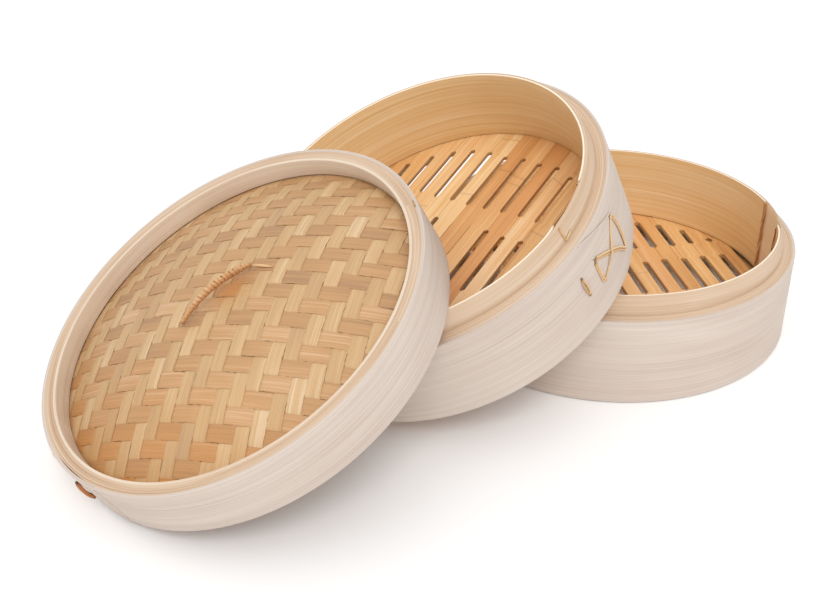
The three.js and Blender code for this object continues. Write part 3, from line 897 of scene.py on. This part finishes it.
def dome(radius, apex=WEAVE_APEX_Z, edge=WEAVE_EDGE_Z):
    """Height of a dome through the apex and the edge, flat beyond the collar."""
    rise = apex - edge
    ball = (LID_COLLAR_R**2 + rise**2) / (2 * rise)
    inside = np.minimum(np.asarray(radius, float), LID_COLLAR_R)
    return apex - ball + np.sqrt(ball**2 - inside**2)


class Weave:
    """2/2 twill of flat strips laid on the dome. Columns run along "up", rows along "across"."""

    def __init__(self, across_deg, up_deg, row_pitch, column_pitch, origin, apex, edge, thick, phase=0):
        self.across = np.array([math.cos(math.radians(across_deg)), math.sin(math.radians(across_deg))])
        self.up = np.array([math.cos(math.radians(up_deg)), math.sin(math.radians(up_deg))])
        self.row_pitch, self.column_pitch = row_pitch, column_pitch
        self.basis = np.linalg.inv(np.stack([self.across, self.up], 1))
        self.origin = np.array(origin, float)
        self.apex, self.edge, self.thick, self.phase = apex, edge, thick, phase

    def coordinates(self, xy):
        """Column and row numbers, as fractions, of points of the lid plane."""
        local = (xy - self.origin) @ self.basis.T
        return local[..., 0] / self.column_pitch, local[..., 1] / self.row_pitch

    def over(self, xy, index, is_column):
        """1 where the strip lies over the strips it crosses, 0 where it dives under them."""
        column, row = self.coordinates(xy)
        cycle = ((row - index + 1.5 if is_column else column - index + 0.5) + self.phase) % 4
        blur = 0.24
        inside = np.clip((cycle + blur) / (2 * blur), 0, 1) * np.clip((2 + blur - cycle) / (2 * blur), 0, 1)
        inside = np.maximum(inside, np.clip((cycle - 4 + blur) / (2 * blur), 0, 1))
        inside = inside * inside * (3 - 2 * inside)
        return inside if is_column else 1 - inside


def strip_shades(xy, up, bow, is_column, draw):
    """How dark and how warm a woven strip is at each of its points: painted shade where it dives under and on
    the left of the weave, warmth where it has aged, and a painted shadow beside the handle.
    """
    edge_dark = np.clip(1 - bow * 5, 0, 1) * 0.06
    # painted shade where the strip dives under the strips it crosses
    painted_dive_shade = np.clip(1 - up * 2.2, 0, 1) * 0.4
    # painted shade: the weave grows darker towards its left side
    shaded = 0.16 * np.clip(-xy[..., 0] / LID_COLLAR_R - 0.1, 0, 1)
    dark = np.clip(edge_dark[None, :] + painted_dive_shade + shaded, 0, 1)
    towards = np.array([math.cos(math.radians(AGED_TOWARDS)), math.sin(math.radians(AGED_TOWARDS))])
    aged = np.clip((xy @ towards / LID_COLLAR_R - 0.35) * 1.5, 0, 1) * draw.uniform(0.3, 1.0)
    # painted shadow of the handle: an amber patch on the weave beside it
    painted_handle_shadow = np.exp(-(((xy - HANDLE_SHADOW_SPOT) ** 2).sum(-1)) / HANDLE_SHADOW_SPREAD) * 0.7
    return dark, np.maximum(aged * (0.45 if is_column else 1.0), painted_handle_shadow)


def weave_strips(prefix, node, weave, half_range, widths, tones):
    """Every strip of a woven sheet as its own piece; the first stands for the CAD sheet."""
    nodes = [node]
    for is_column, word, finish, width in (
        (True, "upright", "straw", widths[0]),
        (False, "cross", "tan", widths[1]),
    ):
        along = weave.up if is_column else weave.across
        step = weave.across if is_column else weave.up
        pitch = weave.column_pitch if is_column else weave.row_pitch
        normal = np.array([-along[1], along[0]])
        for index in range(-half_range, half_range + 1):
            draw = random.Random(f"{prefix}{is_column}{index}")
            offset = float((weave.origin + step * pitch * index) @ normal)
            half = width / 2 * draw.uniform(0.975, 1.0)
            low, high = max(offset - half, -WEAVE_LIMIT_R), min(offset + half, WEAVE_LIMIT_R)
            if high - low < NARROWEST:
                continue
            lateral = np.linspace(low, high, WEAVE_ACROSS)
            reach = np.sqrt(np.maximum(WEAVE_LIMIT_R**2 - lateral**2, 4.0))
            share = np.linspace(-1, 1, max(8, int(2 * reach.max() / WEAVE_STATION)))
            drift = 0.12 * np.sin(share * 7 + draw.uniform(0, 6))[:, None]
            fray = 0.1 * np.sin(share * 57 + draw.uniform(0, 6))
            fray = fray + 0.08 * np.sin(share * 131 + draw.uniform(0, 6))
            spread = lateral[None, :] + fray[:, None] * np.linspace(-1, 1, WEAVE_ACROSS)[None, :] + drift
            xy = (share[:, None] * reach[None, :])[..., None] * along + spread[..., None] * normal

            radius = np.linalg.norm(xy, axis=-1)
            settle = np.clip((WEAVE_FLAT_R - radius) / WEAVE_SETTLE, 0, 1)
            up = weave.over(xy, index, is_column) * settle + 0.5 * (1 - settle)
            bow = 1 - ((lateral - lateral.mean()) / (high - low) * 2) ** 2
            surface = dome(radius, weave.apex, weave.edge)
            middle = surface - weave.thick * (0.82 - 0.6 * up) + 0.1 * bow[None, :] * settle
            tip = weave.thick * 0.15
            upper = np.concatenate([xy, (middle + tip)[..., None]], -1)
            lower = np.concatenate([xy, (middle - tip)[..., None]], -1)[:, ::-1]
            v = np.concatenate([lateral, lateral + 12, [lateral[0] + 24]]) * MM
            verts, faces, uv = loft(np.concatenate([upper, lower], 1), share * reach.max() * MM, v, False)
            dark, warm = strip_shades(xy, up, bow, is_column, draw)
            finish_piece(
                f"{prefix}_{word}_{index + half_range:02d}", verts, faces, uv, "lid", finish, nodes,
                tone=draw.uniform(*tones), dark=np.concatenate([dark, dark[:, ::-1]], 1).ravel(),
                warm=np.concatenate([warm, warm[:, ::-1]], 1).ravel(),
            )
            nodes = []


# ---- handle ----


def handle_point(share):
    """Point of the handle's arch, from one foot at 0 to the other at 1."""
    start, end = HANDLE_FEET
    along = (end - start).normalized()
    foot = start.lerp(end, share)
    height = HANDLE_RISE * max(math.sin(math.pi * share), 0.0) ** 0.8
    lean = height * math.sin(HANDLE_LEAN)
    base = float(dome(start.length)) + HANDLE_ABOVE
    return np.array([foot.x + along.y * lean, foot.y - along.x * lean, base + height * math.cos(HANDLE_LEAN)])


def handle_core(side):
    """Bent cane; side is the level direction across it."""
    arch = np.array([handle_point(s) for s in np.linspace(0, 1, 60)])
    across = np.tile(side, (len(arch), 1))
    strip(
        "handle_core_cane", "handle", ["lid_handle_core"], arch, across, CANE_D, CANE_D, "rattan", 0.3,
        sides=14,
    )


def handle_wrap(side):
    """Strip wound round the cane, thinner towards its lower foot and browner on the side it leans to, partly
    with age and partly as painted shade.
    """
    per_turn, sides = 24, 8
    count = WRAP_TURNS * per_turn
    points, outs, aged_and_shaded = [], [], []
    for number in range(count + 1):
        share = 0.005 + 0.99 * number / count
        ahead = unit(handle_point(min(share + 0.01, 1)) - handle_point(max(share - 0.01, 0)))
        up = np.cross(ahead, side)
        angle = 2 * math.pi * number / per_turn
        direction = side * math.cos(angle) + up * math.sin(angle)
        wobble = 0.14 * math.sin(number * 0.37) + 0.1 * math.sin(number * 0.11 + 1)
        fullness = 1.05 + 0.95 * min(1, 1.7 * share, 5 * (1 - share)) ** 0.8
        points.append(handle_point(share) + direction * (fullness + wobble * 0.3) + ahead * wobble)
        outs.append(direction)
        # browner on the side it leans to: partly age, partly painted shade
        aged_and_shaded.append(0.07 + 0.55 * max(0.0, -float(direction @ side)) ** 1.5)
    strip(
        "handle_wrap_strip", "handle", ["lid_handle_wrap"], points, outs, 2.3, 0.72, "rattan", 0.4,
        sides=sides, warm=np.repeat(aged_and_shaded, sides),
    )


def handle():
    """The cane and its wrapping strip."""
    side = np.cross([0, 0, 1], unit(handle_point(1) - handle_point(0)))
    handle_core(side)
    handle_wrap(side)


def handle_tail():
    """Loose end of the wrapping strip, lying on the dome."""
    start = HANDLE_FEET[1]
    spots = []
    for share in (0.02, 0.2, 0.45, 0.75, 1.0):
        spot = start.lerp(TAIL_END, share)
        rise = 0.55 + 2.4 * (1 - share) ** 2
        spots.append((spot.x, spot.y + 0.8 * math.sin(share * 3), float(dome(spot.length)) + rise))
    path = smooth_path(spots, 8)
    strip(
        "handle_tail_strip", "lid", ["lid_handle_tail"], path, upward(path), 1.9, 0.7, "rattan", 0.8,
        end_dark=0.2, taper=0.7,
    )


# ---- rim of the lid ----


def lap_gap(azimuth):
    """How far the lap of the lid's outer veneer stands open, from 0 to 1."""
    away = (azimuth - (LID_LAP_AT - LID_LAP_SPAN)) % 360
    return np.clip(np.sin(np.clip(away / LID_LAP_SPAN, 0, 1) * np.pi), 0, 1)


def stand_off(azimuth, radius, z):
    """The inside of the outer veneer leaves the next ply at the lap."""
    near = (radius < RIM_R - 0.7) & (z > LID_H * 0.5)
    return radius + np.where(near, 0.2 * lap_gap(azimuth), 0), z


def draw_in(azimuth, radius, z):
    """The next ply leaves the outer veneer at the lap."""
    near = (radius > 124.0) & (z > LID_H * 0.5)
    return radius - np.where(near, 0.3 * lap_gap(azimuth), 0), z


def lid_bands():
    """Outer veneer, middle and core plies, the collar on the weave and the hoop under it."""
    hoop(
        "lid_outer_veneer", "lid", "lid_outer_band",
        [(RIM_R, 0.1), (RIM_R, LID_H), (OUTER_IN_R, LID_H), (OUTER_IN_R, 0.1)],
        "veneer", start=LID_LAP_AT + 4.0, step=0.4, tone=0.45, shape=stand_off,
    )
    inner = LID_CORE_R - 0.2
    hoop(
        "lid_middle_plies", "lid", "lid_middle_band",
        [(CORE_OUT_R, 0.1), *grooved(CORE_OUT_R, inner, LID_H - 0.15, (LID_MIDDLE_GROOVE,)), (inner, 0.1)],
        "core", start=LID_LAP_AT + 100, tone=0.3, shape=draw_in, ease=0.15,
    )
    inner = LID_INNER_R - 0.3
    hoop(
        "lid_core_plies", "lid", "lid_core_band",
        [
            (LID_CORE_R, 0.1), *grooved(LID_CORE_R, inner, LID_H - 0.3, (LID_CORE_GROOVE,)),
            (inner, WEAVE_EDGE_Z + 3), (NEST_R, WEAVE_EDGE_Z + 2), (NEST_R, 0.1),
        ],
        "core", start=12.0, tone=0.2, ease=0.15,
    )
    low, high = WEAVE_EDGE_Z + 0.35, LID_H - 0.1
    hoop(
        "lid_collar_ply", "lid", "lid_collar",
        [(LID_INNER_R, low), (LID_INNER_R, high), (LID_COLLAR_R, high), (LID_COLLAR_R, low)],
        "core", start=200, step=0.1, tone=0.95, ease=0.2,
    )
    outer = LID_INNER_R - 0.1
    low, high = LID_HOOP_Z
    hoop(
        "lid_hoop_split", "lid", "lid_hoop",
        [(outer, low), (outer, high), (LID_HOOP_R, high), (LID_HOOP_R, low)],
        "core", start=40, tone=0.45, uneven=0.03,
    )


def rib(letter, turn_deg, apex):
    """Hidden flat rib under the lining."""
    x = np.linspace(-RIB_END_R, RIB_END_R, 90)
    edge = apex - (WEAVE_APEX_Z - WEAVE_EDGE_Z)
    path = np.stack([x, 0.3 * np.sin(x / 25), dome(abs(x), apex, edge) - RIB_T / 2], 1)
    strip(
        f"lid_rib_{letter}_split", "lid", [f"lid_rib_{letter}"], turned(path, turn_deg), upward(path),
        RIB_W - 0.3, RIB_T - 0.15, "bearer", sides=14,
    )


def rim_split_shade():
    """Short dark strip on the top of the lid's rim, painted shade for a split."""
    path = np.array([on_wall(RIM_SPLIT_R, azimuth, LID_H - 0.02) for azimuth in np.linspace(9.5, 12.5, 9)])
    strip("lid_rim_split", "lid", [], path, upward(path), 0.9, 0.1, "rattan", 0.1, end_dark=1.0, taper=0.6)


def lid():
    """The lid with its weave, ribs, lacing and handle."""
    lid_bands()
    weave_strips(
        "weave", "lid_woven_top",
        Weave(
            across_deg=-21.7, up_deg=69.9, row_pitch=9.79, column_pitch=8.63, origin=(-6.7, -45.9),
            apex=WEAVE_APEX_Z, edge=WEAVE_EDGE_Z, thick=1.3,
        ),
        half_range=30, widths=(8.58, 9.72), tones=(0.15, 0.85),
    )
    weave_strips(
        "lining", "lid_woven_lining",
        Weave(
            across_deg=-12.0, up_deg=77.0, row_pitch=9.9, column_pitch=9.6, origin=(2.0, 3.0),
            apex=WEAVE_APEX_Z - LINING_DROP, edge=WEAVE_EDGE_Z - LINING_DROP, thick=1.0, phase=1,
        ),
        half_range=28, widths=(9.2, 9.5), tones=(0.1, 0.6),
    )
    rib_apex = WEAVE_APEX_Z - LINING_DROP - 1.3
    rib("a", -14, rib_apex)
    rib("b", 76, rib_apex - RIB_T - 0.3)
    bow_tie("lid", "lid", LID_H / 2)
    # the lid's stitch is browned all over (warm 0.9) as painted shade
    end_stitch("lid", "lid", LID_STITCH_AT, 16.5, 31.0, 0.6, bulge_out=1.3, width=2.6, thick=2.2, warm=0.9)
    rim_split_shade()
    handle_tail()
    handle()


tier("lower")
tier("upper")
lid()


# ---- floor, light and camera ----


def ground():
    """Pale floor just under the foot, not attached to any body."""
    side, drop = 30.0, 0.0006
    mesh = bpy.data.meshes.new("floor")
    corners = [(-side, -side, 0), (side, -side, 0), (side, side, 0), (-side, side, 0)]
    mesh.from_pydata(corners, [], [(0, 1, 2, 3)])
    floor = bpy.data.objects.new("floor", mesh)
    floor.location.z = -drop
    bpy.context.scene.collection.objects.link(floor)
    paint = bpy.data.materials.new("pale_floor")
    paint.use_nodes = True
    shader = paint.node_tree.nodes["Principled BSDF"]
    shader.inputs["Base Color"].default_value = (0.95, 0.95, 0.95, 1)
    shader.inputs["Roughness"].default_value = 0.9
    mesh.materials.append(paint)


def lights():
    """White surroundings, a broad key light from the front and a very broad one from above."""
    world = bpy.data.worlds.new("studio")
    world.use_nodes = True
    background = world.node_tree.nodes["Background"]
    background.inputs["Color"].default_value = (1.0, 1.0, 1.0, 1)
    background.inputs["Strength"].default_value = 0.8
    bpy.context.scene.world = world
    bpy.context.scene.view_settings.view_transform = "Standard"

    low, high = CAD_BOX
    middle = (low + high) / 2
    for name, offset, spread, power in (
        ("key", (0.1, -0.95, 1.05), 30, 1.2),
        ("top", (-0.1, -0.15, 1.0), 80, 0.5),
    ):
        light = bpy.data.lights.new(name, "SUN")
        light.angle = math.radians(spread)
        light.energy = power
        lamp = bpy.data.objects.new(name, light)
        lamp.location = middle + Vector(offset)
        lamp.rotation_euler = (-Vector(offset)).to_track_quat("-Z", "Y").to_euler()
        bpy.context.scene.collection.objects.link(lamp)


def camera():
    """Camera above the front, placed from the foot of the lower tier; lengths in millimetres."""
    elevation, roll = 0.5333, -0.0225  # radians
    sensor, lens = 36.0, 46.6746
    # the foot of the lower tier lies this far ahead, to the right and below the line of sight
    reach, aside, below = 795.10, 140.5822, 4.0414
    forward = Vector((0, math.cos(elevation), -math.sin(elevation)))
    right = Vector((1, 0, 0))
    up = Vector((0, math.sin(elevation), math.cos(elevation)))
    rolled_right = right * math.cos(roll) + up * math.sin(roll)
    rolled_up = up * math.cos(roll) - right * math.sin(roll)
    to_foot = forward * reach + rolled_right * aside - rolled_up * below
    data = bpy.data.cameras.new("camera")
    data.sensor_width = sensor
    data.lens = lens
    data.clip_start = 0.01
    eye = bpy.data.objects.new("camera", data)
    turn = Matrix((rolled_right, rolled_up, -forward)).transposed().to_4x4()
    eye.matrix_world = Matrix.Translation(FRAMES["lower_tier"].translation - to_foot * MM) @ turn
    bpy.context.scene.collection.objects.link(eye)
    bpy.context.scene.camera = eye


ground()
lights()
camera()
